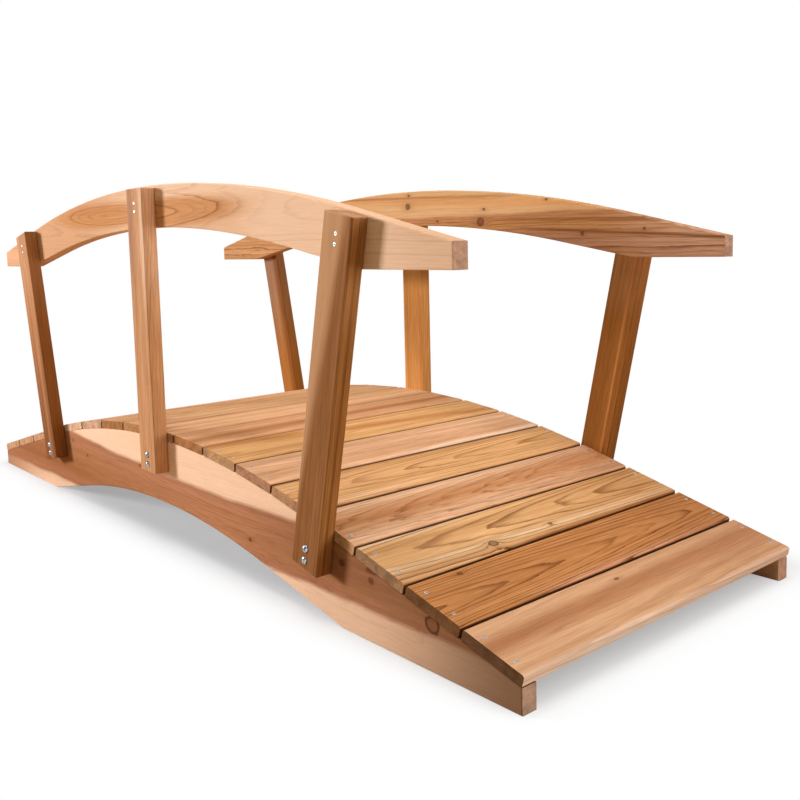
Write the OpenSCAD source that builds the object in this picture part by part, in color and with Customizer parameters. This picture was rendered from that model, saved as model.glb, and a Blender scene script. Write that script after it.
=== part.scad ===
// Moon bridge: a small arched timber footbridge for a garden.
// Two bowed stringers stand on flat feet and carry planks laid along their top.
// Three posts a side are bolted to the stringers and hold an arched handrail.
// X runs along the walkway, Y across it, Z up from the ground.

/* [Deck] */
// Length of the bridge along the ground, between the ends of the stringers
bridge_len = 2438; // [2000:1:3200]
// Width over the two stringers, which is also the length of each plank
deck_w = 864; // [600:1:1200]
// Thickness of each deck plank
plank_t = 22; // [16:0.5:38]
// Gap between one plank and the next, along the top of the stringers
plank_gap = 6.8; // [2:0.1:15]
// Radius of the rounded long edges of each plank
plank_round = 5; // [1:0.5:7]

/* [Stringers] */
// Thickness of each stringer
stringer_t = 36; // [25:1:60]
// Height of each stringer at its ends
stringer_end_h = 47; // [30:1:90]
// Rise of the top of the stringers from their ends to the crest
stringer_rise = 219; // [140:1:300]
// Length along the ground of the straight slope at each end of the deck
deck_slope_len = 502; // [200:1:800]
// Length of each flat foot
foot_len = 468; // [300:1:700]
// Rise of the arch under each stringer, between its feet
stringer_arch_rise = 103; // [40:1:130]
// Length along the ground of the straight flank at each side of that arch
stringer_flank_len = 260; // [100:1:450]

/* [Posts] */
// Width of each post along the bridge
post_w = 86; // [60:1:110]
// Thickness of each post across the bridge
post_t = 36; // [25:1:60]
// Length of each post
post_len = 706; // [500:1:1000]
// Distance from each end of the bridge to where the end posts cross the top of the stringers
post_inset = 526; // [400:1:750]
// Lean of the end posts away from the middle of the bridge, in degrees
post_lean = 12.1; // [0:0.1:18]
// Reach of the middle posts down the side of their stringer
mid_post_lap = 78; // [40:1:110]
// Reach of the end posts down the side of their stringer
end_post_lap = 73; // [40:1:110]
// Radius of the rounded long edges of each post
post_round = 4; // [1:0.5:10]

/* [Handrails] */
// Distance from each end of the bridge in to the end of a handrail
rail_setback = 139; // [40:1:300]
// Thickness of each handrail
rail_t = 36; // [25:1:60]
// Height of each handrail at its ends
rail_end_h = 47; // [30:1:90]
// Rise of the top of the handrails from their ends to the crest
rail_rise = 154; // [80:1:220]
// Length along the ground of the straight slope at each end of a handrail's top
rail_slope_len = 260; // [100:1:500]
// Length of the flat underside at each end of a handrail
rail_flat_len = 240; // [100:1:400]
// Rise of the arch under each handrail
rail_arch_rise = 98; // [40:1:120]
// Length along the ground of the straight flank at each side of that arch
rail_flank_len = 220; // [80:1:450]
// Height of the handrail's crest over the top of the middle posts
rail_over_post = 7; // [0:0.5:30]

/* [Hidden] */
// Radius that eases the edges of the stringers and handrails, and the small difference between
// neighbouring edges, so that no four faces meet in one point
board_ease = 3;
ease_odds = 0.2;
// Width of the chamfer round the sawn ends of the posts
post_end_ease = 1.5;
// Clearance between the flat planks and the curved top of the stringers
plank_seat = 0.2;
// Overrun of every cut past the face that it trims
overrun = 6;
// Number of planks, of flats in half the arc of a bow, and of flats in one eased edge
plank_count = 17;
bow_steps = 12;
ease_steps = 3;

// A bow is an arc in the middle that runs on straight along its tangents at both ends.
// Tangent of half its slope, from the half span of the arc, the straight run and the rise
function half_tan(arc, run, rise, guess = 0, steps = 12) =
    steps == 0 ? guess
    : half_tan(arc, run, rise, rise / (arc + 2 * run / (1 - guess * guess)), steps - 1);

// Slope of the straight ends of a bow, in degrees
function bow_slope(half, run, rise) = 2 * atan(half_tan(half - run, run, rise));

// Radius of the arc of a bow
function bow_radius(half, run, rise) = (half - run) / sin(bow_slope(half, run, rise));

// Drop of a bow from its crest at a distance from the middle
function bow_drop(half, run, rise, x) =
    let (slope = bow_slope(half, run, rise), radius = bow_radius(half, run, rise))
    x < half - run ? radius - sqrt(radius * radius - x * x)
    : radius * (1 - cos(slope)) + (x - half + run) * tan(slope);

// Points of one eased corner about its centre
function corner(x, y, r, from, to, steps = ease_steps) =
    [for (i = [0 : steps]) let (a = from + (to - from) * i / steps)
        [x + r * cos(a), y + r * sin(a)]];

// Steepness of the last flat of an eased corner
last_flat = tan(90 - 45 / ease_steps);

// The bow that the planks lie on, and the planks that fill it
stringer_crest = stringer_end_h + stringer_rise;
deck_slope = bow_slope(bridge_len / 2, deck_slope_len, stringer_rise);
deck_radius = bow_radius(bridge_len / 2, deck_slope_len, stringer_rise);
deck_run = 2 * (deck_radius * deck_slope * PI / 180 + deck_slope_len / cos(deck_slope));
plank_w = (deck_run - (plank_count - 1) * plank_gap) / plank_count;

// Where the posts cross the top of the stringers
side_y = deck_w / 2;
post_spacing = bridge_len / 2 - post_inset;
end_post_z = stringer_crest - bow_drop(bridge_len / 2, deck_slope_len, stringer_rise, post_spacing);

// The handrails' length and the height of their underside at the ends
rail_len = bridge_len - 2 * rail_setback;
rail_crest = stringer_crest - mid_post_lap + post_len + rail_over_post;
rail_z = rail_crest - rail_rise - rail_end_h;

CEDAR = "#c98b5a";
SAPWOOD = "#e2b488";
HEARTWOOD = "#a5673c";

// Rectangle with true round corners, about its centre
module eased_rect(w, h, r) {
    square([w - 2 * r, h], center = true);
    square([w, h - 2 * r], center = true);
    for (sx = [-1, 1], sy = [-1, 1])
        translate([sx * (w / 2 - r), sy * (h / 2 - r)])
            circle(r, $fn = 48);
}

// Outline of the rim of a solid under a bow, with its edges eased. The last flat of each
// eased edge carries on past the side of the board
function eased_rim(depth, t, ease) = concat(
    [[-depth, -t / 2 - overrun], [-ease - last_flat * overrun, -t / 2 - overrun]],
    corner(-ease, ease - t / 2, ease, 90 / ease_steps - 90, 0, ease_steps - 1),
    corner(-ease, t / 2 - ease, ease, 0, 90 - 90 / ease_steps, ease_steps - 1),
    [[-ease - last_flat * overrun, t / 2 + overrun], [-depth, t / 2 + overrun]]);

// Outline of the rim of a cut under a bow, flared to ease the edges that it leaves
function flared_rim(depth, t, ease) = concat(
    [[-depth, -t / 2 - overrun], [ease + last_flat * overrun, -t / 2 - overrun]],
    corner(ease, ease - t / 2, ease, 270 - 90 / ease_steps, 180, ease_steps - 1),
    corner(ease, t / 2 - ease, ease, 180, 90 + 90 / ease_steps, ease_steps - 1),
    [[ease + last_flat * overrun, t / 2 + overrun], [-depth, t / 2 + overrun]]);

// Solid under a bow, its crest on Z = 0 and its thickness along Y: all that lies under a row
// of tangents, the two outermost being the straight ends. Neighbours take turns with two rims
module bow(half, run, rise, rims) {
    radius = bow_radius(half, run, rise);
    slope = bow_slope(half, run, rise);
    intersection_for (i = [-bow_steps : bow_steps])
        translate([0, 0, -radius])
            rotate([0, slope * i / bow_steps, 0])
                translate([0, 0, radius])
                    rotate([90, 0, 90])
                        linear_extrude(4 * half, center = true)
                            polygon([for (p = rims[abs(i) % 2]) [p[1], p[0]]]);
}

// Straight board along X with its lower edges eased, standing on Z = 0
module board_section(len, height, t, ease) {
    rotate([90, 0, 90])
        linear_extrude(len + 2 * overrun, center = true)
            polygon(concat(
                corner(t / 2 - ease, ease, ease, -90, 0),
                [[t / 2, height + overrun], [-t / 2, height + overrun]],
                corner(ease - t / 2, ease, ease, 180, 270)));
}

// Upright prism that trims a board to its length and eases the edges of its ends
module board_ends(len, height, t, ease) {
    side = len / 2 - ease - overrun;
    translate([0, 0, -overrun])
        linear_extrude(height + 3 * overrun)
            polygon(concat(
                corner(len / 2 - ease, ease - t / 2, ease, -90, 0),
                corner(len / 2 - ease, t / 2 - ease, ease, 0, 90),
                [[side, t / 2 + overrun], [-side, t / 2 + overrun]],
                corner(ease - len / 2, t / 2 - ease, ease, 90, 180),
                corner(ease - len / 2, ease - t / 2, ease, 180, 270),
                [[-side, -t / 2 - overrun], [side, -t / 2 - overrun]]));
}

// Board with a bowed top, upright ends, and a bowed arch between two flats underneath
module arched_board(len, t, end_h, rise, slope_len, flat_len, arch_rise, flank_len, ease) {
    crest = end_h + rise;
    less = ease - ease_odds;
    difference() {
        intersection() {
            board_section(len, crest, t, ease - 2 * ease_odds);
            board_ends(len, crest, t, ease - 3 * ease_odds);
            translate([0, 0, crest])
                bow(len / 2, slope_len, rise, [eased_rim(2 * len, t, ease), eased_rim(2 * len, t, less)]);
        }
        translate([0, 0, arch_rise])
            bow(len / 2 - flat_len, flank_len, arch_rise,
                [flared_rim(2 * len, t, ease), flared_rim(2 * len, t, less)]);
    }
}

// Stringer on its feet, on the side that side points to
module stringer(side) {
    color(HEARTWOOD)
        translate([0, side * (side_y - stringer_t / 2), 0])
            arched_board(bridge_len, stringer_t, stringer_end_h, stringer_rise, deck_slope_len,
                foot_len, stringer_arch_rise, stringer_flank_len, board_ease);
}

// Deck plank, counted from the front end, lying square to the bow
module deck_plank(number) {
    place = ((plank_count + 1) / 2 - number) * (plank_w + plank_gap);
    turn = max(-deck_slope, min(deck_slope, place / deck_radius * 180 / PI));
    slide = place - deck_radius * turn * PI / 180;
    color(CEDAR)
        translate([0, 0, stringer_crest - deck_radius])
            rotate([0, turn, 0])
                translate([slide, 0, deck_radius + plank_seat + plank_t / 2])
                    rotate([90, 0, 0])
                        linear_extrude(deck_w, center = true)
                            eased_rect(plank_w, plank_t, plank_round);
}

// Prism that chamfers the two ends of a post across one of its widths
module post_ends(w) {
    square_w = w / 2 - post_end_ease;
    wide_w = w / 2 + overrun;
    square_h = post_len / 2;
    low_h = post_len / 2 - post_end_ease - overrun;
    polygon([[square_w, square_h], [-square_w, square_h], [-wide_w, low_h], [-wide_w, -low_h],
        [-square_w, -square_h], [square_w, -square_h], [wide_w, -low_h], [wide_w, low_h]]);
}

// Post with rounded long edges, about its middle
module post_stick() {
    intersection() {
        linear_extrude(post_len + 2 * overrun, center = true)
            eased_rect(post_w, post_t, post_round);
        rotate([90, 0, 0])
            linear_extrude(post_t + 2 * overrun, center = true)
                post_ends(post_w);
        rotate([90, 0, 90])
            linear_extrude(post_w + 2 * overrun, center = true)
                post_ends(post_t);
    }
}

// Post against the outer face of a stringer: along is 1 at the front, 0 midway, -1 at the back
module post(side, along) {
    cross_z = along == 0 ? stringer_crest : end_post_z;
    lap = along == 0 ? mid_post_lap : end_post_lap;
    color(SAPWOOD)
        translate([along * post_spacing, side * (side_y + post_t / 2), cross_z])
            rotate([0, along * post_lean, 0])
                translate([0, 0, post_len / 2 - lap])
                    post_stick();
}

// Handrail against the inner faces of the posts
module handrail(side) {
    color(CEDAR)
        translate([0, side * (side_y - rail_t / 2), rail_z])
            arched_board(rail_len, rail_t, rail_end_h, rail_rise, rail_slope_len,
                rail_flat_len, rail_arch_rise, rail_flank_len, board_ease);
}

stringer(-1);  // stringer_left
stringer(1);  // stringer_right
deck_plank(1);  // deck_plank_01
deck_plank(2);  // deck_plank_02
deck_plank(3);  // deck_plank_03
deck_plank(4);  // deck_plank_04
deck_plank(5);  // deck_plank_05
deck_plank(6);  // deck_plank_06
deck_plank(7);  // deck_plank_07
deck_plank(8);  // deck_plank_08
deck_plank(9);  // deck_plank_09
deck_plank(10);  // deck_plank_10
deck_plank(11);  // deck_plank_11
deck_plank(12);  // deck_plank_12
deck_plank(13);  // deck_plank_13
deck_plank(14);  // deck_plank_14
deck_plank(15);  // deck_plank_15
deck_plank(16);  // deck_plank_16
deck_plank(17);  // deck_plank_17
post(-1, 1);  // post_left_front
post(-1, 0);  // post_left_middle
post(-1, -1);  // post_left_back
post(1, 1);  // post_right_front
post(1, 0);  // post_right_middle
post(1, -1);  // post_right_back
handrail(-1);  // handrail_left
handrail(1);  // handrail_right
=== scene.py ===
"""Looks of a cedar moon bridge: sawn wood finishes, fasteners, studio and camera."""

import logging
import math
from dataclasses import dataclass, replace
from enum import Enum
from typing import Any, ClassVar, Sequence, Union

import bpy
from mathutils import Matrix, Vector


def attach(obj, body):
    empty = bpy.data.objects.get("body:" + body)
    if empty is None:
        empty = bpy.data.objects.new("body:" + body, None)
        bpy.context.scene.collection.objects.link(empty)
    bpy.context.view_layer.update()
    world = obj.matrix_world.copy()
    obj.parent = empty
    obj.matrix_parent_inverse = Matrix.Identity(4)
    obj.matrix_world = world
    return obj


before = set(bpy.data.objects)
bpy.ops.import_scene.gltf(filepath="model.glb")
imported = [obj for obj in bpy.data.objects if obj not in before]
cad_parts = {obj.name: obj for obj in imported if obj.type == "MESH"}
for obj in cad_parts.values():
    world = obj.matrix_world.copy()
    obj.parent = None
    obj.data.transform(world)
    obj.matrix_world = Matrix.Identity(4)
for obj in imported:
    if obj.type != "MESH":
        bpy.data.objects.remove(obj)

LOG = logging.getLogger("moon_bridge")
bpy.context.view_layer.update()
BODY = "root"

Colour = tuple[int, int, int]
Triple = tuple[float, float, float]
Socket = bpy.types.NodeSocket
Tree = bpy.types.NodeTree
Material = bpy.types.Material
Feed = Union["Value", float, int, str, Sequence[float]]


class Lies(Enum):
    """Face that a streak is placed on, by the axis that crosses it."""

    ACROSS = 1
    THROUGH = 2


class Side(Enum):
    """Side of the bridge, by the sign of Y."""

    LEFT = -1
    RIGHT = 1


class Bay(Enum):
    """Place of a post along the bridge, by the sign of X."""

    FRONT = 1
    MIDDLE = 0
    BACK = -1


def linear(colour: Colour) -> tuple[float, float, float, float]:
    """Turn a display colour into the linear colour that shaders use.

    Args:
        colour: red, green and blue from 0 to 255.

    Returns:
        Linear red, green, blue and an alpha of 1.
    """
    shares = [c / 255 for c in colour]
    r, g, b = (s / 12.92 if s <= 0.04045 else ((s + 0.055) / 1.055) ** 2.4 for s in shares)
    return (r, g, b, 1.0)


def axes(along: Vector, across: Vector, centre: Vector) -> Matrix:
    """Build a board's own axes.

    Args:
        along: direction of the grain.
        across: direction across the wide face.
        centre: point that the axes start from.

    Returns:
        Matrix from the board's axes to the bridge's.
    """
    turn = Matrix((along, across, along.cross(across))).transposed()
    return Matrix.Translation(centre) @ turn.to_4x4()


@dataclass(frozen=True)
class BridgeSizes:
    """Sizes of the solids that the fasteners and the grain are set out from, in metres."""

    bridge_len: float = 2.438
    deck_w: float = 0.864
    plank_t: float = 0.022
    plank_gap: float = 0.0068
    plank_count: int = 17
    plank_seat: float = 0.0002
    stringer_t: float = 0.036
    stringer_end_h: float = 0.047
    stringer_rise: float = 0.219
    deck_slope_len: float = 0.502
    post_t: float = 0.036
    post_len: float = 0.706
    post_inset: float = 0.526
    post_lean: float = math.radians(12.1)
    mid_post_lap: float = 0.078
    end_post_lap: float = 0.073

    @property
    def crest(self) -> float:
        """Height of the top of the stringers at the middle."""
        return self.stringer_end_h + self.stringer_rise

    @property
    def half_arc(self) -> float:
        """Distance along the ground from the middle to the end of the deck's arc."""
        return self.bridge_len / 2 - self.deck_slope_len

    @property
    def deck_slope(self) -> float:
        """Slope of the straight ends of the deck, in radians, found by trying again until it settles."""
        half_tan = 0.0
        for _ in range(12):
            half_tan = self.stringer_rise / (self.half_arc + 2 * self.deck_slope_len / (1 - half_tan**2))
        return 2 * math.atan(half_tan)

    @property
    def deck_radius(self) -> float:
        """Radius of the arc in the middle of the deck."""
        return self.half_arc / math.sin(self.deck_slope)

    @property
    def plank_w(self) -> float:
        """Width of one plank along the deck."""
        run = 2 * (self.deck_radius * self.deck_slope + self.deck_slope_len / math.cos(self.deck_slope))
        return (run - (self.plank_count - 1) * self.plank_gap) / self.plank_count

    def stringer_top(self, x: float) -> float:
        """Height of the top of the stringers.

        Args:
            x: distance from the middle of the bridge.

        Returns:
            Height over the ground.
        """
        radius = self.deck_radius
        if abs(x) < self.half_arc:
            return self.crest - radius + math.sqrt(radius**2 - x**2)
        drop = radius * (1 - math.cos(self.deck_slope))
        return self.crest - drop - (abs(x) - self.half_arc) * math.tan(self.deck_slope)

    def plank_frame(self, number: int) -> Matrix:
        """Axes of one plank: X along its grain, Y across it towards the front, Z up from its middle.

        Args:
            number: the plank's number from the front end, from 1.

        Returns:
            Matrix from the plank's own axes to the bridge's.
        """
        place = ((self.plank_count + 1) / 2 - number) * (self.plank_w + self.plank_gap)
        turn = max(-self.deck_slope, min(self.deck_slope, place / self.deck_radius))
        slide = place - self.deck_radius * turn
        along = Vector((math.cos(turn), 0, -math.sin(turn)))
        up = Vector((math.sin(turn), 0, math.cos(turn)))
        centre = Vector((0, 0, self.crest - self.deck_radius))
        centre += slide * along + (self.deck_radius + self.plank_seat + self.plank_t / 2) * up
        return axes(along.cross(up), along, centre)

    def post_frame(self, side: Side, bay: Bay) -> Matrix:
        """Axes of one post: X up its grain, Y across its wide face, Z out of a wide face.

        Args:
            side: side of the bridge.
            bay: place along the bridge.

        Returns:
            Matrix from the post's own axes, about its lower end, to the bridge's.
        """
        lean = bay.value * self.post_lean
        lap = self.end_post_lap if bay.value else self.mid_post_lap
        x = bay.value * (self.bridge_len / 2 - self.post_inset)
        y = side.value * (self.deck_w / 2 + self.post_t / 2)
        up = Vector((math.sin(lean), 0, math.cos(lean)))
        across = Vector((math.cos(lean), 0, -math.sin(lean)))
        return axes(up, across, Vector((x, y, self.stringer_top(x))) - lap * up)

    def side_frame(self, side: Side) -> Matrix:
        """Axes of a stringer or handrail: X along the bridge and Y up.

        Args:
            side: side of the bridge.

        Returns:
            Matrix from the board's own axes to the bridge's.
        """
        y = side.value * (self.deck_w - self.stringer_t) / 2
        return axes(Vector((1, 0, 0)), Vector((0, 0, 1)), Vector((0, y, 0)))


@dataclass(frozen=True)
class Knot:
    """Knot that runs through a board: its place and size, and how strongly its parts show."""

    along: float
    across: float
    radius: float
    stretch: float = 1.25
    core: float = 0.8
    rim: float = 0.5
    halo: float = 0.35


@dataclass(frozen=True)
class SapEdge:
    """Line between heartwood and sapwood that runs along a board."""

    at: float
    slope: float = 0.0
    bend: float = 0.0
    bend_from: float = 0.0
    wave: float = 0.012
    over: bool = True
    soft: float = 0.0035
    rim: float = 0.5


@dataclass(frozen=True)
class Streak:
    """Soft stripe of another tone along the grain."""

    at: float
    width: float
    tone: Colour
    strength: float = 0.8
    slope: float = 0.0
    wave: float = 0.006
    start: float = -9.0
    end: float = 9.0
    run: float = 0.12
    lies: Lies = Lies.ACROSS


def wash(tone: Colour, strength: float, **ends: float) -> Streak:
    """Change of tone over the whole width of a board.

    Args:
        tone: the other tone.
        strength: share of it.
        ends: where it starts and ends, and over what run.

    Returns:
        A streak far wider than any board.
    """
    return Streak(0.0, 9.0, tone, strength, **ends)


@dataclass(frozen=True)
class Oval:
    """Place where the saw cut through a hump in the rings, which shows as closed ovals."""

    along: float
    across: float
    length: float
    width: float
    height: float


@dataclass(frozen=True)
class Cedar:
    """Finish of one planed cedar board."""

    early: Colour
    late: Colour
    end: Colour
    sap: Colour = (238, 198, 158)
    pith: tuple[float, float] = (0.02, -0.06)
    tilt: tuple[float, float] = (0.0, 0.02)
    ring_gap: float = 0.006
    wander: float = 0.012
    ring_strength: float = 0.75
    figure: float = 0.8
    seed: float = 0.0
    sap_edges: tuple[SapEdge, ...] = ()
    streaks: tuple[Streak, ...] = ()
    knots: tuple[Knot, ...] = ()
    ovals: tuple[Oval, ...] = ()
    heart_in_oval: bool = False
    gaps: tuple[float, ...] = ()
    section: tuple[float, float] = (0.14, 0.022)
    rough: float = 0.62


@dataclass(frozen=True)
class Plating:
    """Finish of plated steel fasteners: a metal tone with patches of a second, darker tone, which on the
    bright bolts is painted dark reflection.
    """

    metal: Colour
    dull_and_reflection: Colour
    rough: float
    seed: float = 0.0


class Value:
    """Output in a node tree, which sums are written with as with a plain number."""

    def __init__(self, sheet: "Sheet", socket: Socket) -> None:
        """Hold the output and the sheet that its sums go on."""
        self.sheet, self.socket = sheet, socket

    def __add__(self, other: Feed) -> "Value":
        """Add another value."""
        return self.sheet.math("ADD", self, other)

    def __sub__(self, other: Feed) -> "Value":
        """Take another value away."""
        return self.sheet.math("SUBTRACT", self, other)

    def __rsub__(self, other: float) -> "Value":
        """Take this value away from a number."""
        return self.sheet.math("SUBTRACT", other, self)

    def __mul__(self, other: Feed) -> "Value":
        """Multiply by another value."""
        return self.sheet.math("MULTIPLY", self, other)

    def __truediv__(self, other: Feed) -> "Value":
        """Divide by another value."""
        return self.sheet.math("DIVIDE", self, other)

    def __neg__(self) -> "Value":
        """Turn the sign."""
        return self * -1.0

    def squared(self) -> "Value":
        """Multiply by itself."""
        return self * self

    def decay(self) -> "Value":
        """Fall from 1 at nothing towards 0 as the value grows."""
        return self.sheet.math("EXPONENT", -self)


class Sheet:
    """Sets out and wires the nodes of one node tree."""

    ROWS = 8
    SPACING = (180, -160)

    def __init__(self, tree: Tree) -> None:
        """Start on a tree."""
        self.tree, self.count = tree, 0

    def node(self, kind: str, **settings: Any) -> bpy.types.Node:
        """Add a node.

        Args:
            kind: the node's type.
            settings: the node's own settings.

        Returns:
            The new node.
        """
        new = self.tree.nodes.new(kind)
        new.location = [gap * step for gap, step in zip(self.SPACING, divmod(self.count, self.ROWS))]
        self.count += 1
        for name, value in settings.items():
            setattr(new, name, value)
        return new

    def feed(self, socket: Socket, value: Feed) -> None:
        """Link a socket or set its value.

        Args:
            socket: the input to feed.
            value: an output to link, or a value to set.
        """
        if isinstance(value, Value):
            self.tree.links.new(value.socket, socket)
        else:
            socket.default_value = value

    def outputs(self, node: bpy.types.Node) -> dict[str, Value]:
        """Outputs of a node, by name."""
        return {socket.name: Value(self, socket) for socket in node.outputs}

    def put(self, kind: str, feeds: dict[Any, Feed], out: Union[int, str] = 0, **settings: Any) -> Value:
        """Add a node, feed its inputs and take one of its outputs.

        Args:
            kind: the node's type.
            feeds: what to feed, by the input's name or number.
            out: name or number of the output.
            settings: the node's own settings.

        Returns:
            The output.
        """
        new = self.node(kind, **settings)
        for name, value in feeds.items():
            self.feed(new.inputs[name], value)
        return Value(self, new.outputs[out])

    def math(self, operation: str, *values: Feed) -> Value:
        """Do a sum on values."""
        return self.put("ShaderNodeMath", dict(enumerate(values)), operation=operation)

    def vector(self, operation: str, a: Feed, b: Feed = (0.0, 0.0, 0.0), out: str = "Vector") -> Value:
        """Do a sum on vectors, which gives a vector or a value."""
        return self.put("ShaderNodeVectorMath", {0: a, 1: b}, out, operation=operation)

    def combine(self, *parts: Feed) -> Value:
        """Join up to three values into a vector."""
        return self.put("ShaderNodeCombineXYZ", dict(enumerate(parts)))

    def split(self, vector: Feed) -> list[Value]:
        """Take a vector apart.

        Args:
            vector: the vector.

        Returns:
            Its three values.
        """
        new = self.node("ShaderNodeSeparateXYZ")
        self.feed(new.inputs[0], vector)
        return list(self.outputs(new).values())

    def step(self, value: Feed, low: Feed, high: Feed) -> Value:
        """Smooth step from 0 at low to 1 at high."""
        feeds = {"Value": value, "From Min": low, "From Max": high}
        return self.put("ShaderNodeMapRange", feeds, "Result", interpolation_type="SMOOTHSTEP")

    def noise(
        self, vector: Feed, scale: Feed, detail: float = 2.0, rough: float = 0.5, out: int = 0
    ) -> Value:
        """Add a noise texture.

        Args:
            vector: coordinates.
            scale: scale along each of them.
            detail: number of finer layers.
            rough: strength of the finer layers.
            out: 0 for its value, 1 for its colour.

        Returns:
            The value or colour.
        """
        spot = self.vector("MULTIPLY", vector, scale)
        feeds = {"Vector": spot, "Scale": 1.0, "Detail": detail, "Roughness": rough}
        return self.put("ShaderNodeTexNoise", feeds, out)

    def mix(self, share: Feed, a: Feed, b: Feed, blend: str = "MIX") -> Value:
        """Mix two colours by the share of the second one."""
        return self.put("ShaderNodeMix", {0: share, 6: a, 7: b}, 2, data_type="RGBA", blend_type=blend)

    def pile(self, operation: str, before: Feed, more: Value) -> Value:
        """Join a value to the ones before it, or start with it where there are none."""
        return more if isinstance(before, float) else self.math(operation, before, more)

    def group(self, tree: Tree, **inputs: Feed) -> dict[str, Value]:
        """Place a node group.

        Args:
            tree: the group.
            inputs: its inputs, named with low lines for spaces.

        Returns:
            Its outputs, by name.
        """
        new = self.node("ShaderNodeGroup", node_tree=tree)
        for name, value in inputs.items():
            self.feed(new.inputs[name.replace("_", " ")], value)
        return self.outputs(new)


class GroupSheet(Sheet):
    """Sheet of a new shader group, whose sockets are values apart from the one named Vector."""

    def __init__(self, name: str, *inputs: str) -> None:
        """Start the group.

        Args:
            name: the group's name.
            inputs: names of its inputs.
        """
        super().__init__(bpy.data.node_groups.new(name, "ShaderNodeTree"))
        for label in inputs:
            kind = "NodeSocketVector" if label == "Vector" else "NodeSocketFloat"
            self.tree.interface.new_socket(label, in_out="INPUT", socket_type=kind)
        given = self.outputs(self.node("NodeGroupInput"))
        self.given = [given[label] for label in inputs]

    def give(self, **made: Value) -> Tree:
        """Feed the group's outputs.

        Args:
            made: what each output gives.

        Returns:
            The finished group.
        """
        for label in made:
            self.tree.interface.new_socket(label, in_out="OUTPUT", socket_type="NodeSocketFloat")
        sockets = self.node("NodeGroupOutput").inputs
        for label, value in made.items():
            self.feed(sockets[label], value)
        return self.tree


def named(finish: Any, fields: str) -> dict[str, float]:
    """Fields of a finish, in title case as its group names them."""
    return {name.title(): getattr(finish, name) for name in fields.split()}


def start_material(name: str) -> tuple[Material, Sheet, Any, dict[str, Value]]:
    """Start a material.

    Args:
        name: the material's name.

    Returns:
        The material, its sheet, its shader's inputs and its coordinates.
    """
    material = bpy.data.materials.new(name)
    material.use_nodes = True
    s = Sheet(material.node_tree)
    shader = material.node_tree.nodes["Principled BSDF"].inputs
    return material, s, shader, s.outputs(s.node("ShaderNodeTexCoord"))


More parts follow.
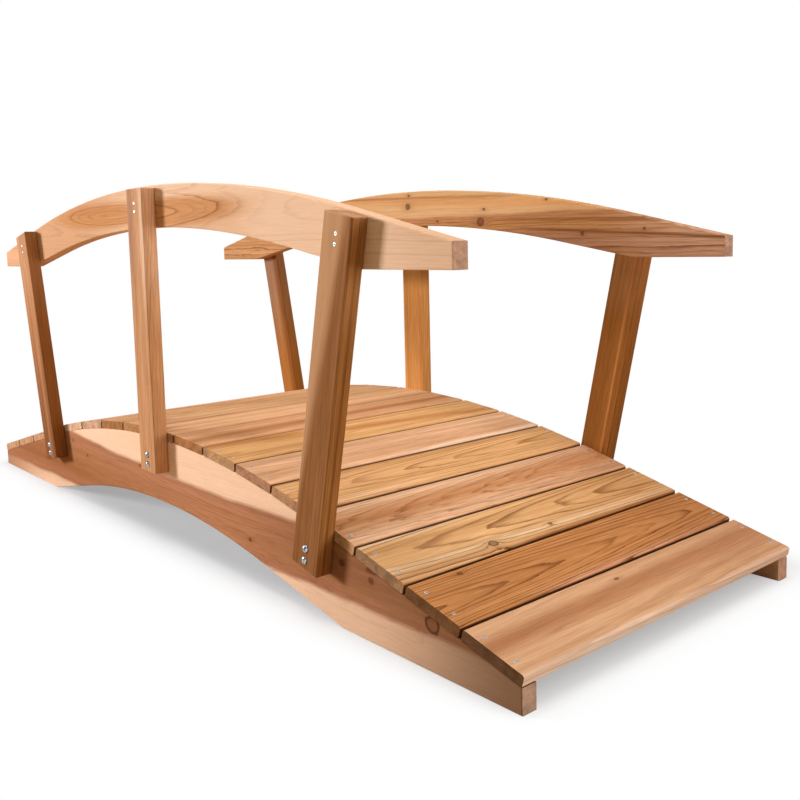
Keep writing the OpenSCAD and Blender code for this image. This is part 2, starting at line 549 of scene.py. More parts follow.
class WoodEffects:
    """Shader groups that every cedar board shares. Scales run along, across and through a board."""

    SEED_SHIFT = (7.31, 3.17, 1.93)
    BEND_SCALE = (1.7, 13.0, 13.0)
    RUFFLE_SCALE = (9.0, 85.0, 85.0)
    RUFFLE = 0.3
    UNEVEN_SCALE = (55.0, 1.0, 1.0)
    UNEVEN_YEARS = 1.6
    LATE_FROM, LATE_TO = 0.45, 0.95
    EARLY_TINT = 0.12
    WEAK_YEAR = 0.25
    FIBRE_SCALE = (13.0, 480.0, 480.0)
    BAND_SCALE = (1.1, 46.0, 46.0)
    KNOT_SCALE = (1.0, 1.0, 40.0)
    KNOT_EDGE = (0.7, 1.1)
    RIM_WIDTH = 0.2
    MOTTLE_SCALE = (2.2, 3.4, 90.0)
    STAIN_LENGTH = 3.4
    SAP_SCALE = (4.2, 1.0, 1.0)
    SAP_RIM_OFF, SAP_RIM_WIDTH = 0.006, 0.011
    STREAK_SCALE = (5.0, 1.0, 1.0)
    # Where the painted shade in the gaps between planks starts, across and down the long edges.
    GAP_SHADE_INSET = (0.0012, 0.0032)
    GAP_SHADE_DEPTH = (0.0016, 0.005)

    def __init__(self) -> None:
        """Build the groups once."""
        self.rings, self.knot, self.sap = self._rings(), self._knot(), self._sap()
        self.oval, self.streak = self._oval(), self._streak()
        self.planed, self.gap = self._planed(), self._gap_shade_group()

    def _rings(self) -> Tree:
        """Growth rings about a pith line, with fibres and slow bands of colour.

        Returns:
            The group.
        """
        names = ("Pith Across", "Pith Through", "Tilt Across", "Tilt Through")
        s = GroupSheet("cedar_rings", "Vector", *names, "Ring Gap", "Wander", "Swell", "Seed")
        vector, *lines, ring_gap, wander, swell, seed = s.given
        spot = s.vector("ADD", vector, s.combine(*(seed * shift for shift in self.SEED_SHIFT)))
        slow = s.noise(spot, self.BEND_SCALE, 1.5, out=1)
        bends = s.split(s.vector("SUBTRACT", slow, (0.5, 0.5, 0.5)))
        ruffle = (s.noise(spot, self.RUFFLE_SCALE) - 0.5) * self.RUFFLE
        along, *legs = s.split(vector)
        squares = [
            (leg - pith - tilt * along + (bend + ruffle) * wander).squared()
            for leg, pith, tilt, bend in zip(legs, lines[:2], lines[2:], bends)
        ]
        radius = s.math("SQRT", squares[0] + squares[1]) + swell
        uneven = s.noise(s.combine(radius, seed), self.UNEVEN_SCALE, 1.0)
        phase = radius / ring_gap + uneven * self.UNEVEN_YEARS
        saw = s.math("FRACT", phase)
        late = s.step(saw, self.LATE_FROM, self.LATE_TO) * (1.0 - s.step(saw, self.LATE_TO, 1.0))
        count = s.math("FLOOR", phase) + seed
        year = s.put("ShaderNodeTexWhiteNoise", {"W": count}, "Value", noise_dimensions="1D")
        strong = year * (1.0 - self.WEAK_YEAR) + self.WEAK_YEAR
        return s.give(
            Rings=(late.squared() + saw * self.EARLY_TINT) * strong,
            Fibre=s.noise(spot, self.FIBRE_SCALE, 3.0, 0.65),
            Band=s.noise(spot, self.BAND_SCALE, 3.0, 0.6),
        )

    def _knot(self) -> Tree:
        """One knot: its core, its dark rim, the stain about it and the way it pushes the rings aside.

        Returns:
            The group.
        """
        s = GroupSheet("cedar_knot", "Vector", "Along", "Across", "Radius", "Stretch")
        vector, along, across, radius, stretch = s.given
        x, y, _ = s.split(vector)
        u, v = (x - along) / stretch / radius, (y - across) / radius
        spot = s.combine(u, v, along)
        away = s.math("SQRT", u.squared() + v.squared()) * (s.noise(spot, self.KNOT_SCALE) * 0.56 + 0.72)
        mottle = s.noise(spot, self.MOTTLE_SCALE, 3.0, 0.6) * 1.5 + 0.25
        return s.give(
            Core=(1.0 - s.step(away, *self.KNOT_EDGE)) * mottle,
            Rim=((away - 1.0) / self.RIM_WIDTH).squared().decay(),
            Halo=((u / self.STAIN_LENGTH).squared() + v.squared() * 0.3).decay(),
            Swell=(away.squared() * 0.16).decay() * radius * 1.2,
        )

    def _sap(self) -> Tree:
        """Wavy line between heartwood and sapwood.

        Returns:
            The group.
        """
        shape = ("At", "Slope", "Bend", "Bend From", "Wave", "Way", "Soft")
        s = GroupSheet("sapwood_edge", "Vector", *shape, "Seed")
        vector, at, slope, bend, bend_from, wave, way, soft, seed = s.given
        x, y, _ = s.split(vector)
        edge = at + slope * x + bend * (x - bend_from).squared()
        wander = (s.noise(s.combine(x, seed), self.SAP_SCALE, 3.0, 0.45) - 0.5) * wave
        gap = (y - edge - wander) * way
        rim = ((gap + self.SAP_RIM_OFF) / self.SAP_RIM_WIDTH).squared().decay()
        return s.give(Sapwood=s.step(gap, -soft, soft), Rim=rim)

    def _oval(self) -> Tree:
        """Hump in the rings that shows as closed ovals.

        Returns:
            The group.
        """
        s = GroupSheet("ring_hump", "Vector", "Along", "Across", "Length", "Width")
        vector, along, across, length, width = s.given
        x, y, _ = s.split(vector)
        return s.give(Hump=(((x - along) / length).squared() + ((y - across) / width).squared()).decay())

    def _streak(self) -> Tree:
        """Soft stripe along the grain, between two places.

        Returns:
            The group.
        """
        shape = ("At", "Slope", "Width", "Wave", "Start", "End", "Run")
        s = GroupSheet("wood_streak", "Along", "Across", *shape, "Seed")
        along, across, at, slope, width, wave, start, end, run, seed = s.given
        wander = (s.noise(s.combine(along, seed), self.STREAK_SCALE, 3.0) - 0.5) * wave
        mask = ((across - (at + wander) - slope * along) / width).squared().decay()
        for past in (along - start, end - along):
            mask = mask * s.step(past, -run, run)
        return s.give(Mask=mask)

    def _planed(self) -> Tree:
        """Sheen and relief of a planed face: late wood stands a little proud and smoother.

        Returns:
            The group.
        """
        s = GroupSheet("planed_face", "Rings", "Fibre", "Knot", "Rough")
        rings, fibre, knot, rough = s.given
        sheen = rough + fibre * 0.16 - rings * 0.07 - knot * 0.12
        return s.give(Roughness=sheen, Height=rings * 0.6 + fibre * 0.5 + knot * 0.8)

    def _gap_shade_group(self) -> Tree:
        """Painted shade that darkens a plank's long edges down in the gaps, where they lie in shadow.

        Returns:
            The group.
        """
        s = GroupSheet("gap_dust", "Across", "Through", "Half Width", "Half Thickness")
        across, through, half_width, half_thickness = s.given
        edge = 1.0 - s.step(half_width - across, *self.GAP_SHADE_INSET)
        return s.give(Mask=edge * s.step(half_thickness - through, *self.GAP_SHADE_DEPTH))


class BoardLook:
    """Material of one cedar board, made coat by coat."""

    KNOT_TONES = {"halo": (140, 84, 46), "core": (106, 57, 28), "rim": (78, 42, 20)}
    SAP_RIM = (172, 112, 84)
    # Tone and share of the painted shade down in the gaps between planks.
    GAP_SHADE_TONE = (104, 59, 30)
    GAP_SHADE_SHARE = 0.9
    STREAK_SEEDS_APART = 0.37
    RINGS, RINGS_LOSS = 0.9, 0.72
    FIBRES, FIBRES_LOSS = 1.15, 0.57
    BANDS_LOSS = 0.75
    HEART_EDGE = (0.12, 0.6)
    WARMTH = (1.3, 1.7)
    END_FACING = (0.7, 0.95)
    END_MOTTLE = 1.5
    END_RINGS = 0.35
    RELIEF = {"Strength": 0.35, "Distance": 0.0006}
    SHEEN = 0.03

    def __init__(self, effects: WoodEffects, name: str, finish: Cedar, board: Matrix) -> None:
        """Make the material.

        Args:
            effects: the shared shader groups.
            name: the material's name.
            finish: the board's finish.
            board: the board's own axes, X along the grain and Y across its wide face.
        """
        self.effects, self.finish, self.board = effects, finish, board
        self.material, self.s, self.shader, self.place = start_material(name)
        moved = {"Vector": self.place["Object"], "Location": board.to_translation()}
        moved["Rotation"] = board.to_euler()
        self.spot = self.s.put("ShaderNodeMapping", moved, vector_type="TEXTURE")
        self.parts = self.s.split(self.spot)
        self.colour: Feed = linear(finish.early)
        self.swell: Feed = 0.0
        self.hump: Feed = 0.0
        self.pale: Feed = 0.0
        self.marks: dict[str, Feed] = dict.fromkeys(self.KNOT_TONES, 0.0)
        self._push_rings()
        ways = {"Pith_Across": finish.pith[0], "Pith_Through": finish.pith[1]}
        ways |= {"Tilt_Across": finish.tilt[0], "Tilt_Through": finish.tilt[1]}
        grain = named(finish, "ring_gap wander seed")
        self.wood = self.s.group(effects.rings, Vector=self.spot, Swell=self.swell, **grain, **ways)
        coats = (self._sapwood, self._streaks, self._figure, self._knots, self._gap_dust, self._ends)
        for coat in (*coats, self._face):
            coat()

    def _coat(self, share: Feed, tone: Colour) -> None:
        """Lay a share of another tone over the colour."""
        self.colour = self.s.mix(share, self.colour, linear(tone))

    def _less(self, full: float, loss: float) -> Feed:
        """Weaken a value by a share of it in the sapwood, where there is any."""
        return self.pale * (-loss * full) + full if isinstance(self.pale, Value) else full

    def _push_rings(self) -> None:
        """Place the knots and the humps that push the rings aside."""
        s = self.s
        for knot in self.finish.knots:
            one = s.group(self.effects.knot, Vector=self.spot, **named(knot, "along across radius stretch"))
            self.swell = s.pile("ADD", self.swell, one["Swell"])
            for part, mask in self.marks.items():
                self.marks[part] = s.pile("MAXIMUM", mask, one[part.title()] * getattr(knot, part))
        for oval in self.finish.ovals:
            shape = named(oval, "along across length width")
            hump = s.group(self.effects.oval, Vector=self.spot, **shape)["Hump"]
            self.swell = s.pile("ADD", self.swell, hump * oval.height)
            self.hump = s.pile("MAXIMUM", self.hump, hump)

    def _sapwood(self) -> None:
        """Colour the sapwood and the dusky line beside it."""
        s, finish = self.s, self.finish
        dusk: Feed = 0.0
        for index, edge in enumerate(finish.sap_edges):
            shape = named(edge, "at slope bend bend_from wave soft")
            way = 1.0 if edge.over else -1.0
            line = s.group(self.effects.sap, Vector=self.spot, Way=way, Seed=finish.seed + index, **shape)
            self.pale = s.pile("MAXIMUM", self.pale, line["Sapwood"])
            dusk = s.pile("MAXIMUM", dusk, line["Rim"] * edge.rim)
        if finish.heart_in_oval:
            self.pale = 1.0 - s.step(self.hump, *self.HEART_EDGE)
        if finish.sap_edges:
            self._coat(dusk, self.SAP_RIM)
        if isinstance(self.pale, Value):
            self._coat(self.pale, finish.sap)

    def _streaks(self) -> None:
        """Lay the streaks."""
        for index, streak in enumerate(self.finish.streaks):
            shape = named(streak, "at slope width wave start end run")
            seed = self.finish.seed + self.STREAK_SEEDS_APART * index
            along, across = self.parts[0], self.parts[streak.lies.value]
            mask = self.s.group(self.effects.streak, Along=along, Across=across, Seed=seed, **shape)["Mask"]
            self._coat(mask * streak.strength, streak.tone)

    def _figure(self) -> None:
        """Draw the rings, fibres and bands, all of them weaker in the sapwood."""
        s, finish, wood = self.s, self.finish, self.wood
        strength = self._less(self.RINGS * finish.ring_strength, self.RINGS_LOSS)
        self._coat(wood["Rings"] * strength, finish.late)
        shade = (wood["Fibre"] - 0.5) * self._less(self.FIBRES * finish.figure, self.FIBRES_LOSS) + 1.0
        shade = shade * ((wood["Band"] - 0.5) * self._less(finish.figure, self.BANDS_LOSS) + 1.0)
        tint = s.combine(shade, *(s.math("POWER", shade, power) for power in self.WARMTH))
        self.colour = s.mix(1.0, self.colour, tint, "MULTIPLY")

    def _knots(self) -> None:
        """Colour the knots."""
        if self.finish.knots:
            for part, tone in self.KNOT_TONES.items():
                self._coat(self.marks[part], tone)

    def _gap_dust(self) -> None:
        """Paint shade on the long edges that face another plank, down in the gap between them."""
        width, thickness = self.finish.section
        halves = {"Half_Width": width / 2, "Half_Thickness": thickness / 2}
        for way in self.finish.gaps:
            across = self.parts[1] * way
            mask = self.s.group(self.effects.gap, Across=across, Through=self.parts[2], **halves)["Mask"]
            self._coat(mask * self.GAP_SHADE_SHARE, self.GAP_SHADE_TONE)

    def _ends(self) -> None:
        """Give the sawn ends a tone of their own."""
        s = self.s
        grain = tuple(self.board.to_3x3() @ Vector((1, 0, 0)))
        facing = s.math("ABSOLUTE", s.vector("DOT_PRODUCT", self.place["Normal"], grain, "Value"))
        mottle = (self.wood["Band"] - 0.5) * self.END_MOTTLE + 1.0
        ends = s.mix(1.0, linear(self.finish.end), s.combine(mottle, mottle, mottle), "MULTIPLY")
        ends = s.mix(self.wood["Rings"] * self.END_RINGS, ends, linear(self.KNOT_TONES["rim"]))
        self.colour = s.mix(s.step(facing, *self.END_FACING), self.colour, ends)

    def _face(self) -> None:
        """Give the shader its colour, sheen and relief."""
        s = self.s
        grain = {name: self.wood[name] for name in ("Rings", "Fibre")}
        face = s.group(self.effects.planed, Knot=self.marks["core"], Rough=self.finish.rough, **grain)
        relief = s.put("ShaderNodeBump", {**self.RELIEF, "Height": face["Height"]})
        s.feed(self.shader["Base Color"], self.colour)
        s.feed(self.shader["Roughness"], face["Roughness"])
        s.feed(self.shader["Normal"], relief)
        s.feed(self.shader["Specular IOR Level"], self.SHEEN)


class Finishes:
    """Makes the materials of the bridge from their finishes."""

    CLOUD_SCALE = (260.0, 260.0, 260.0)
    CLOUD_EDGE = (0.35, 0.7)
    CLOUD_ROUGH = 0.14

    def __init__(self) -> None:
        """Build the shared effects."""
        self.effects = WoodEffects()

    def cedar(self, name: str, finish: Cedar, board: Matrix) -> Material:
        """Make the material of a board with the given axes."""
        return BoardLook(self.effects, name, finish, board).material

    def plated(self, name: str, finish: Plating) -> Material:
        """Make a plated steel material.

        Args:
            name: the material's name.
            finish: the plating.

        Returns:
            The material.
        """
        material, s, shader, place = start_material(name)
        spot = s.vector("ADD", place["Object"], (finish.seed, 0.0, 0.0))
        share = s.step(s.noise(spot, self.CLOUD_SCALE), *self.CLOUD_EDGE)
        s.feed(shader["Base Color"], s.mix(share, linear(finish.metal), linear(finish.dull_and_reflection)))
        s.feed(shader["Roughness"], share * self.CLOUD_ROUGH + finish.rough)
        s.feed(shader["Metallic"], 1.0)
        return material


@dataclass(frozen=True)
class HeadShape:
    """Turned head of a fastener: shares of its radius and height, from the top's middle round to the seat."""

    radius: float
    height: float
    profile: tuple[tuple[float, float], ...]
    recess: float = 0.0
    sides: int = 24


DOME = HeadShape(
    0.0085,
    0.0048,
    (
        (0, 1), (0.27, 0.965), (0.52, 0.86), (0.72, 0.7), (0.87, 0.5), (0.97, 0.27), (1, 0.12),
        (1, -0.1), (0, -0.1),
    ),
)
FLAT = HeadShape(
    0.0038,
    0.0006,
    ((0, 0.2), (0.32, 0.2), (0.38, 0.9), (0.8, 1), (0.94, 0.8), (1, 0.4), (1, -0.4), (0, -0.4)),
    0.36,
)


@dataclass(frozen=True)
class FastenerRow:
    """Fasteners of one kind, made as instances on points and then turned into one plain mesh."""

    name: str
    slot: str
    shape: HeadShape
    seed: int
    inputs: ClassVar[dict[str, str]] = {
        "Points": "Geometry", "Radius": "Float", "Height": "Float", "Recess": "Float", "Seed": "Int",
        "Metal": "Material", "Recess Metal": "Material",
    }
    weld: ClassVar[float] = 1e-6

    def _tree(self) -> Tree:
        """Build the tree that sets a turned head on every point.

        Returns:
            The tree.
        """
        tree = bpy.data.node_groups.new(f"{self.name}_heads", "GeometryNodeTree")
        for label, kind in self.inputs.items():
            tree.interface.new_socket(label, in_out="INPUT", socket_type=f"NodeSocket{kind}")
        tree.interface.new_socket("Heads", in_out="OUTPUT", socket_type="NodeSocketGeometry")
        s = Sheet(tree)
        given = s.outputs(s.node("NodeGroupInput"))
        dealt = {"Instance": self._head(s, given), "Rotation": self._spin(s, given["Seed"])}
        heads = s.put("GeometryNodeInstanceOnPoints", {"Points": given["Points"], **dealt})
        heads = s.put("GeometryNodeRealizeInstances", {0: heads})
        heads = s.put("GeometryNodeSetMaterial", {"Geometry": heads, "Material": given["Metal"]})
        # Faces of the driver recess take their own material, which for the screws is darker: painted shade.
        hollow = s.put("GeometryNodeInputNamedAttribute", {"Name": "recess"}, data_type="FLOAT")
        dark = {"Selection": s.math("GREATER_THAN", hollow, 0.5), "Material": given["Recess Metal"]}
        heads = s.put("GeometryNodeSetMaterial", {"Geometry": heads, **dark})
        s.feed(s.node("NodeGroupOutput").inputs[0], heads)
        return tree

    def _head(self, s: Sheet, given: dict[str, Value]) -> Value:
        """Turn one head from a flat grid and mark the faces of its recess.

        Args:
            s: the tree's sheet.
            given: the tree's inputs.

        Returns:
            The head.
        """
        counts = {"Vertices X": self.shape.sides + 1, "Vertices Y": len(self.shape.profile)}
        head = s.put("GeometryNodeMeshGrid", {"Size X": 1.0, "Size Y": 1.0, **counts})
        x, y, _ = s.split(s.put("GeometryNodeInputPosition", {}))
        turn, share = (x + 0.5) * math.tau, y + 0.5
        out = self._curve(s, share, 0) * given["Radius"]
        up = (self._curve(s, share, 1) * 2.0 - 1.0) * given["Height"]
        place = s.combine(out * s.math("COSINE", turn), out * s.math("SINE", turn), up)
        shaped = {"SetPosition": {"Position": place}, "MergeByDistance": {"Distance": self.weld}}
        for kind, feeds in {**shaped, "FlipFaces": {}, "SetShadeSmooth": {}}.items():
            head = s.put(f"GeometryNode{kind}", {0: head, **feeds})
        away = s.math("SQRT", x.squared() + y.squared())
        marked = {"Name": "recess", "Value": s.math("LESS_THAN", away, given["Recess"] * given["Radius"])}
        kind = "GeometryNodeStoreNamedAttribute"
        return s.put(kind, {"Geometry": head, **marked}, data_type="FLOAT", domain="FACE")

    @staticmethod
    def _spin(s: Sheet, seed: Value) -> Value:
        """Face each head the way that its point says, and spin it by chance.

        Args:
            s: the tree's sheet.
            seed: seed of the spin.

        Returns:
            The rotation.
        """
        axis = s.put("GeometryNodeInputNamedAttribute", {"Name": "axis"}, data_type="FLOAT_VECTOR")
        lean = s.put("FunctionNodeAlignRotationToVector", {"Vector": axis}, axis="Z")
        angle = s.put("FunctionNodeRandomValue", {3: math.tau, "Seed": seed}, 1, data_type="FLOAT")
        spin = s.put("FunctionNodeAxisAngleToRotation", {"Axis": (0.0, 0.0, 1.0), "Angle": angle})
        return s.put("FunctionNodeRotateRotation", {0: lean, 1: spin}, rotation_space="LOCAL")

    def _curve(self, s: Sheet, share: Value, column: int) -> Value:
        """Follow one column of the head's profile.

        Args:
            s: the tree's sheet.
            share: how far along the profile, from 0 to 1.
            column: 0 for the radius, 1 for the height, which is kept as a share from -1 to 1.

        Returns:
            The share of the radius, or half the share of the height plus a half.
        """
        new = s.node("ShaderNodeFloatCurve")
        points = new.mapping.curves[0].points
        last = len(self.shape.profile) - 1
        for index, row in enumerate(self.shape.profile):
            spot = (index / last, row[column] if column == 0 else (row[column] + 1) / 2)
            if index in (0, last):
                point = points[0 if index == 0 else -1]
                point.location = spot
            else:
                point = points.new(*spot)
            point.handle_type = "VECTOR"
        new.mapping.update()
        s.feed(new.inputs["Value"], share)
        return Value(s, new.outputs[0])

    def build(self, spots: Sequence[tuple[Vector, Vector]], metal: Material, recess: Material) -> None:
        """Make the row's mesh.

        Args:
            spots: where each head sits and the way that it faces.
            metal: the head's material.
            recess: the material of the driver recess.
        """
        mesh = bpy.data.meshes.new(f"{self.name}_points")
        mesh.from_pydata([p for p, _ in spots], [], [])
        facing = mesh.attributes.new("axis", "FLOAT_VECTOR", "POINT")
        facing.data.foreach_set("vector", [v for _, way in spots for v in way])
        host = bpy.data.objects.new(f"{self.name}_points", mesh)
        bpy.context.scene.collection.objects.link(host)
        tree = self._tree()
        modifier = host.modifiers.new("heads", "NODES")
        modifier.node_group = tree
        values: dict[str, Any] = named(self.shape, "radius height recess")
        values |= {"Seed": self.seed, "Metal": metal, "Recess Metal": recess}
        for item in tree.interface.items_tree:
            if item.in_out == "INPUT" and item.name in values:
                modifier[item.identifier] = values[item.name]
        solid = bpy.data.meshes.new_from_object(host.evaluated_get(bpy.context.evaluated_depsgraph_get()))
        solid.name = self.name
        host.modifiers.remove(modifier)
        bpy.data.objects.remove(host)
        piece = bpy.data.objects.new(self.name, solid)
        bpy.context.scene.collection.objects.link(piece)
        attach(piece, BODY)
        LOG.info("%s: %d heads, %d faces", self.name, len(spots), len(solid.polygons))


def dress(node: str, material: Material) -> None:
    """Give a carried-over solid its material.

    Args:
        node: the solid's name.
        material: the material for all of its slots.
    """
    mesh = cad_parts[node].data
    mesh.materials.clear()
    mesh.materials.append(material)
    LOG.info("%s: %s", node, material.name)


@dataclass
class Deck:
    """The planks and the screws that hold them."""

    sizes: BridgeSizes
    planks: dict[int, Cedar]
    screw_apart: float = 0.072
    screw_in: float = 0.018

    def build(self, finishes: Finishes, screw: Material, recess: Material) -> None:
        """Dress the planks and drive their screws.

        Args:
            finishes: maker of the materials.
            screw: the screws' material.
            recess: the material of their recesses.
        """
        sizes, spots = self.sizes, []
        for number, finish in self.planks.items():
            board = sizes.plank_frame(number)
            name = f"deck_plank_{number:02d}"
            gaps = tuple(way for way, last in ((1.0, 1), (-1.0, sizes.plank_count)) if number != last)
            finish = replace(finish, seed=float(number), gaps=gaps, section=(sizes.plank_w, sizes.plank_t))
            dress(name, finishes.cedar(name, finish, board))
            up = board.to_3x3() @ Vector((0, 0, 1))
            along, across = sizes.deck_w / 2 - self.screw_in, self.screw_apart / 2
            for end in (-1, 1):
                for edge in (-1, 1):
                    spots.append((board @ Vector((end * along, edge * across, sizes.plank_t / 2)), up))
        FastenerRow("deck_screws", "screws", FLAT, 3).build(spots, screw, recess)


@dataclass
class BowedPair:
    """Two bowed boards, one on each side of the bridge."""

    sizes: BridgeSizes
    boards: dict[Side, Cedar]
    kind: ClassVar[str]

    def build(self, finishes: Finishes) -> None:
        """Dress both boards."""
        for side, finish in self.boards.items():
            name = f"{self.kind}_{side.name.lower()}"
            dress(name, finishes.cedar(name, finish, self.sizes.side_frame(side)))


class Stringers(BowedPair):
    """The two boards that carry the deck."""

    kind = "stringer"


class Handrails(BowedPair):
    """The two rails."""

    kind = "handrail"


@dataclass
class Posts:
    """The six posts with their bolts and rail screws."""

    sizes: BridgeSizes
    boards: dict[tuple[Side, Bay], Cedar]
    bolts_up: tuple[float, float] = (0.019, 0.044)
    screws_down: tuple[float, float] = (0.036, 0.056)

    def build(self, finishes: Finishes, bolt: Material, screw: Material, recess: Material) -> None:
        """Dress the posts and set their fasteners.

        Args:
            finishes: maker of the materials.
            bolt: the bolts' material.
            screw: the screws' material.
            recess: the material of the screws' recesses.
        """
        bolts, screws = [], []
        for (side, bay), finish in self.boards.items():
            board = self.sizes.post_frame(side, bay)
            name = f"post_{side.name.lower()}_{bay.name.lower()}"
            dress(name, finishes.cedar(name, finish, board))
            out = Vector((0, side.value, 0))
            face = out * self.sizes.post_t / 2
            bolts += [(board @ Vector((up, 0, 0)) + face, out) for up in self.bolts_up]
            tops = [self.sizes.post_len - down for down in self.screws_down]
            screws += [(board @ Vector((up, 0, 0)) + face, out) for up in tops]
        FastenerRow("post_bolts", "bolts", DOME, 5).build(bolts, bolt, bolt)
        FastenerRow("rail_screws", "screws", FLAT, 7).build(screws, screw, recess)


@dataclass(frozen=True)
class Lamp:
    """Soft square lamp: the way to it and how far, its side, the brightness that it gives and its colour."""

    name: str
    way: Triple
    far: float
    size: float
    share: float
    tint: Triple = (1.0, 1.0, 1.0)


LAMPS = (
    Lamp("key_lamp", (-0.74, -0.64, 0.22), 9.0, 1.7, 1.05, (1.0, 1.055, 1.18)),
    Lamp("top_lamp", (0.9, -0.2, 4.6), 4.6915, 3.0, 0.87),
    Lamp("fill_lamp", (0.9, 0.25, 0.15), 5.5, 2.5, 0.42, (1.0, 1.02, 1.06)),
)


@dataclass(frozen=True)
class Studio:
    """White studio: floor, sky, soft lamps and the camera."""

    eye: Triple = (2.13945, -1.4551, 0.74303)
    yaw: float = 2.42543
    pitch: float = -0.10894
    roll: float = -0.02294
    focal_px: float = 914.889
    centre_px: tuple[float, float] = (407.085, 344.473)
    image_px: int = 800
    sensor_mm: float = 36.0
    clip_end: float = 100.0
    lamps: tuple[Lamp, ...] = LAMPS
    lamp_aim: Triple = (0.0, 0.0, 0.4)
    sky: float = 0.09
    bounce: Triple = (1.0, 0.84, 0.55)
    floor_half: float = 14.0
    floor_sunk: float = 0.0004
    floor_rough: float = 0.95
    floor_tone: float = 0.55
    floor_glow: float = 0.48
    floor_painted_shade: float = 0.23
    shadow_mid: Triple = (-0.03, 0.05, 0.0)
    shadow_core: Triple = (1.17, 0.42, 9.0)
    shadow_run: float = 0.17

    def build(self) -> None:
        """Build the studio."""
        self._camera()
        self._sky()
        for lamp in self.lamps:
            self._hang(lamp)
        self._floor()
        bpy.context.scene.view_settings.view_transform = "Standard"

    def _camera(self) -> None:
        """Place the camera where the photograph was taken from."""
        level = Vector((math.sin(self.yaw), -math.cos(self.yaw), 0))
        ahead = Vector((math.cos(self.yaw), math.sin(self.yaw), 0)) * math.cos(self.pitch)
        ahead.z = math.sin(self.pitch)
        upright = level.cross(ahead)
        right = math.cos(self.roll) * level + math.sin(self.roll) * upright
        up = -math.sin(self.roll) * level + math.cos(self.roll) * upright
        turn = Matrix((right, up, -ahead)).transposed().to_4x4()
        lens = bpy.data.cameras.new("camera")
        lens.sensor_width = self.sensor_mm
        lens.lens = self.focal_px * self.sensor_mm / self.image_px
        lens.shift_x = -(self.centre_px[0] - self.image_px / 2) / self.image_px
        lens.shift_y = (self.centre_px[1] - self.image_px / 2) / self.image_px
        lens.clip_end = self.clip_end
        camera = bpy.data.objects.new("camera", lens)
        camera.matrix_world = Matrix.Translation(Vector(self.eye)) @ turn
        bpy.context.scene.collection.objects.link(camera)
        bpy.context.scene.camera = camera

    def _warmed(self, s: Sheet, seen: Value, tone: Feed = 1.0) -> Value:
        """Neutral tone where it is looked at, warm where it only lights the bridge."""
        return s.combine(*((seen * (1.0 - part) + part) * tone for part in self.bounce))

    def _sky(self) -> None:
        """White sky: plain light on the bridge, and plain white behind it."""
        world = bpy.data.worlds.new("studio")
        world.use_nodes = True
        bpy.context.scene.world = world
        s = Sheet(world.node_tree)
        path = s.outputs(s.node("ShaderNodeLightPath"))
        mirrored = s.math("MAXIMUM", path["Is Glossy Ray"], path["Is Transmission Ray"])
        seen = s.math("MAXIMUM", path["Is Camera Ray"], mirrored)
        back = world.node_tree.nodes["Background"].inputs
        s.feed(back["Color"], self._warmed(s, seen))
        s.feed(back["Strength"], seen * (1.0 - self.sky) + self.sky)

    def _hang(self, lamp: Lamp) -> None:
        """Hang a lamp that faces the bridge.

        Args:
            lamp: the lamp.
        """
        aim, place = Vector(self.lamp_aim), Vector(lamp.way).normalized() * lamp.far
        light = bpy.data.lights.new(lamp.name, "AREA")
        light.size = lamp.size
        light.color = lamp.tint
        light.energy = lamp.share * math.pi**2 * (place - aim).length_squared
        hung = bpy.data.objects.new(lamp.name, light)
        hung.location = place
        hung.rotation_euler = (aim - place).to_track_quat("-Z", "Y").to_euler()
        bpy.context.scene.collection.objects.link(hung)

    def _floor(self) -> None:
        """Pale floor that keeps the bridge's shadow, adds a painted contact shadow about the bridge's
        footprint, and fades into the white behind it.
        """
        mesh = bpy.data.meshes.new("floor")
        half = self.floor_half
        corners = [(x * half, y * half, -self.floor_sunk) for x, y in ((-1, -1), (1, -1), (1, 1), (-1, 1))]
        mesh.from_pydata(corners, [], [(0, 1, 2, 3)])
        floor = bpy.data.objects.new("floor", mesh)
        bpy.context.scene.collection.objects.link(floor)
        material, s, shader, place = start_material("studio_floor")
        shader["Roughness"].default_value = self.floor_rough
        shader["Specular IOR Level"].default_value = 0.0
        shader["Emission Color"].default_value = (1.0, 1.0, 1.0, 1.0)
        off = s.vector("ABSOLUTE", s.vector("SUBTRACT", place["Object"], self.shadow_mid))
        off = s.vector("MAXIMUM", s.vector("SUBTRACT", off, self.shadow_core))
        far = s.step(s.vector("LENGTH", off, out="Value"), 0.0, self.shadow_run)
        # Below and about the bridge the floor's tone and glow are lowered: a painted contact shadow.
        light = far * self.floor_painted_shade + (1.0 - self.floor_painted_shade)
        path = s.outputs(s.node("ShaderNodeLightPath"))
        seen = s.math("MAXIMUM", path["Is Camera Ray"], path["Is Glossy Ray"])
        s.feed(shader["Base Color"], self._warmed(s, seen, light * self.floor_tone))
        s.feed(shader["Emission Strength"], seen * light * self.floor_glow)
        plain = s.outputs(material.node_tree.nodes["Principled BSDF"])["BSDF"]
        blend = s.put("ShaderNodeMixShader", {0: far * seen, 1: plain, 2: s.put("ShaderNodeEmission", {})})
        s.feed(material.node_tree.nodes["Material Output"].inputs["Surface"], blend)
        mesh.materials.append(material)


